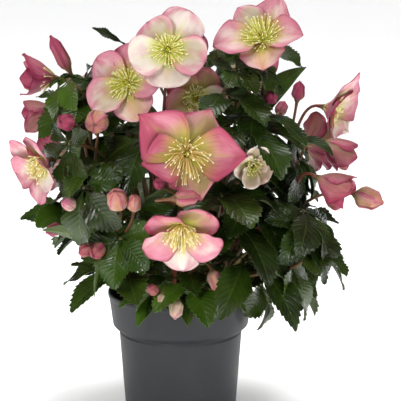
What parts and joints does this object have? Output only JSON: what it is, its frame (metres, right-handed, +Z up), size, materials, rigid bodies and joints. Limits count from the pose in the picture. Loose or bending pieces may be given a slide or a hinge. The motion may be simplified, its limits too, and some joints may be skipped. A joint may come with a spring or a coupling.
{
  "type": "potted hellebore",
  "caption": "Flowering hellebore with pink and cream cup-shaped blooms, buds and dark toothed leaves in a plain grey nursery pot",
  "frame": {"origin": "Centre of the flat underside of the pot", "axes": "+Z up along the pot's axis, -Y towards the front that the picture shows, +X to the right of that front"},
  "size_m": [0.3481, 0.3188, 0.4113],
  "materials": {
    "pot": "satin dark grey",
    "soil": "rough, moist compost",
    "stem": "satin red-brown, with green bracts and pink buds",
    "leaf": "glossy dark green",
    "tepal_pink": "soft satin",
    "tepal_pale": "soft satin",
    "tepal_dusky": "soft satin",
    "stamen": "matte"
  },
  "bodies": {
    "root": {"pot": "pot", "soil": "soil", "stem_left_top": "stem", "stem_left": "stem", "stem_left_low": "stem", "stem_centre_top": "stem", "stem_front": "stem", "stem_front_low": "stem", "stem_right_top": "stem", "stem_right": "stem", "stem_right_side": "stem", "stem_back_left": "stem", "stem_back_right": "stem", "stem_back_top": "stem", "leaf_01": "leaf", "leaf_02": "leaf", "leaf_03": "leaf", "leaf_04": "leaf", "leaf_05": "leaf", "leaf_06": "leaf", "leaf_07": "leaf", "leaf_08": "leaf", "leaf_09": "leaf", "leaf_10": "leaf", "leaf_11": "leaf", "leaf_12": "leaf", "bloom_01": "tepal_pale", "bloom_01_stamens": "stamen", "bloom_02": "tepal_pink", "bloom_02_stamens": "stamen", "bloom_03": "tepal_pink", "bloom_03_stamens": "stamen", "bloom_04": "tepal_pink", "bloom_04_stamens": "stamen", "bloom_05": "tepal_pale", "bloom_05_stamens": "stamen", "bloom_06": "tepal_pale", "bloom_06_stamens": "stamen", "bloom_07": "tepal_pink", "bloom_07_stamens": "stamen", "bloom_08": "tepal_pale", "bloom_08_stamens": "stamen", "bloom_09": "tepal_pale", "bloom_09_stamens": "stamen", "bloom_10": "tepal_dusky", "bloom_11": "tepal_pink", "bloom_11_stamens": "stamen", "bloom_12": "tepal_dusky", "bloom_13": "tepal_dusky", "bloom_14": "tepal_pink", "bloom_14_stamens": "stamen", "bloom_15": "tepal_pale", "bloom_15_stamens": "stamen", "bloom_16": "tepal_pink", "bloom_16_stamens": "stamen", "bloom_17": "tepal_dusky", "bloom_17_stamens": "stamen", "bloom_18": "tepal_pink", "bloom_18_stamens": "stamen", "bloom_19": "tepal_dusky"}
  },
  "joints": []
}
